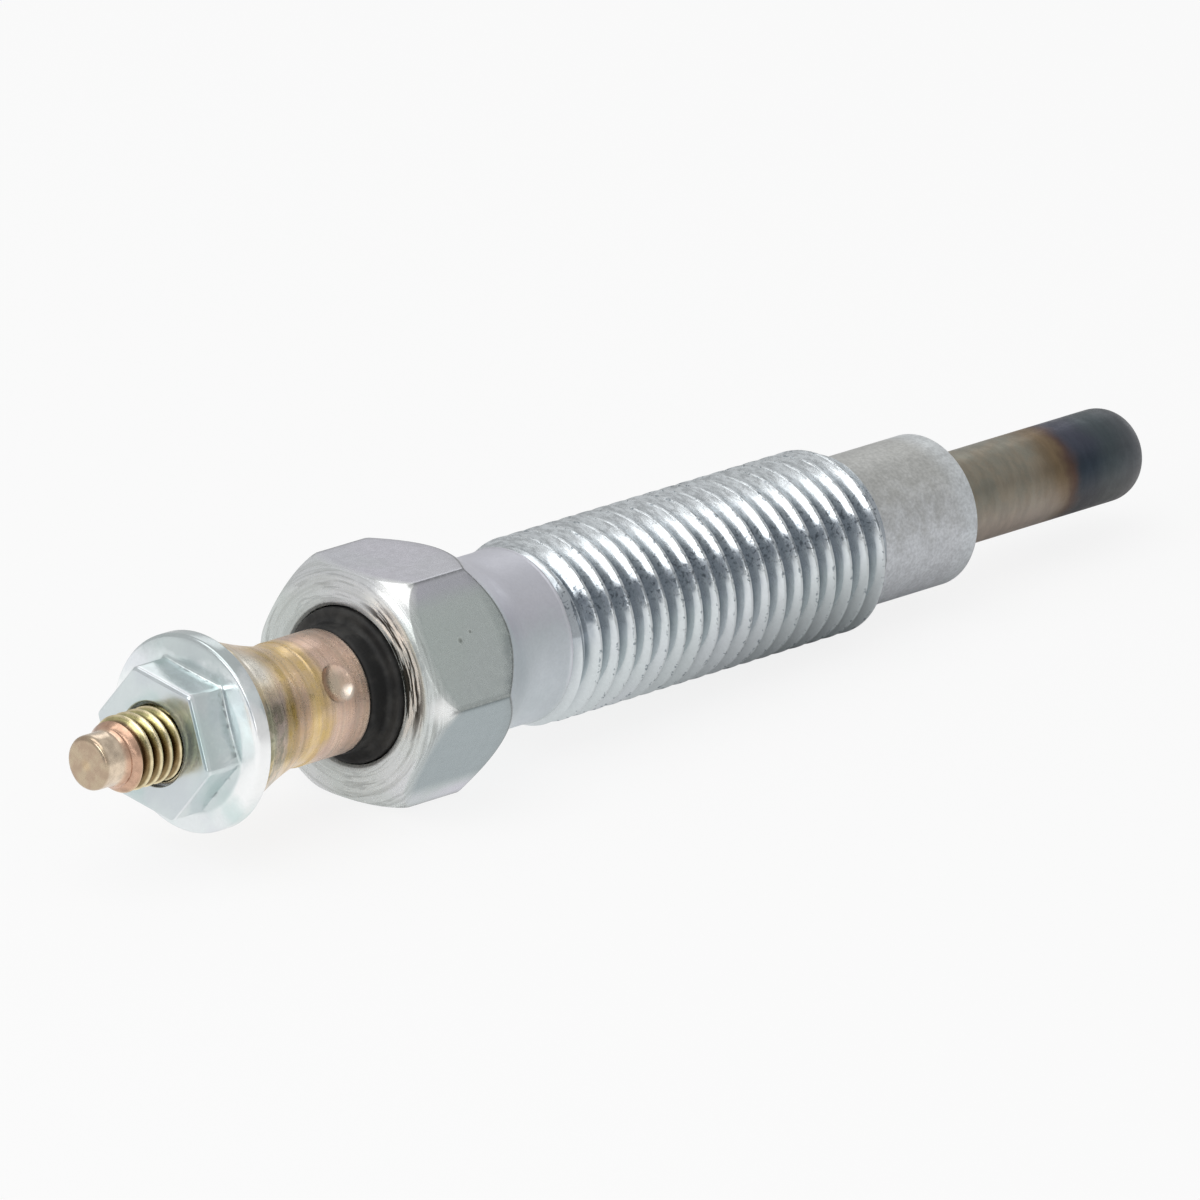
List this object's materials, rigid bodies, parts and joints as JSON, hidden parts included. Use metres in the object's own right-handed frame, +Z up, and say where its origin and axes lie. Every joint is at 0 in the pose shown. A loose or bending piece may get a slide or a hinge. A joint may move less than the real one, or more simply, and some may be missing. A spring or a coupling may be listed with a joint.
{
  "type": "diesel glow plug",
  "caption": "Threaded glow plug with a hexagonal housing, a sheathed heating tip and a stud terminal with a flange nut.",
  "frame": {"origin": "on the surface that the plug lies on, below the middle of its bounding box", "axes": "+X along the plug towards the heating tip, +Z up; the plug's own axis dips 2 degrees towards the tip, as it does when the plug lies on one spanner flat and on its thread"},
  "size_m": [0.0772, 0.0138, 0.0122],
  "materials": {
    "zinc_plate": "satin zinc plate, machined",
    "bright_zinc_plate": "bright blue-white zinc plate",
    "yellow_zinc_plate": "yellow passivated zinc plate, turned",
    "rod_steel": "satin, slightly yellow passivated",
    "heat_alloy": "satin heat-resistant alloy with heat tint",
    "black_moulding": "matte black moulding",
    "black_rubber": "matte black rubber",
    "white_powder": "pressed white mineral powder",
    "nickel_wire": "drawn wire",
    "heating_wire": "drawn wire"
  },
  "bodies": {
    "root": {"housing": "zinc_plate", "heater_sheath": "heat_alloy", "centre_rod": "rod_steel", "terminal_flange_nut": "bright_zinc_plate", "round_collar_nut": "yellow_zinc_plate", "insulating_bush": "black_moulding", "o_ring": "black_rubber", "sheath_seal": "black_rubber", "control_coil": "nickel_wire", "heating_coil": "heating_wire", "magnesia_filling": "white_powder"}
  },
  "joints": []
}
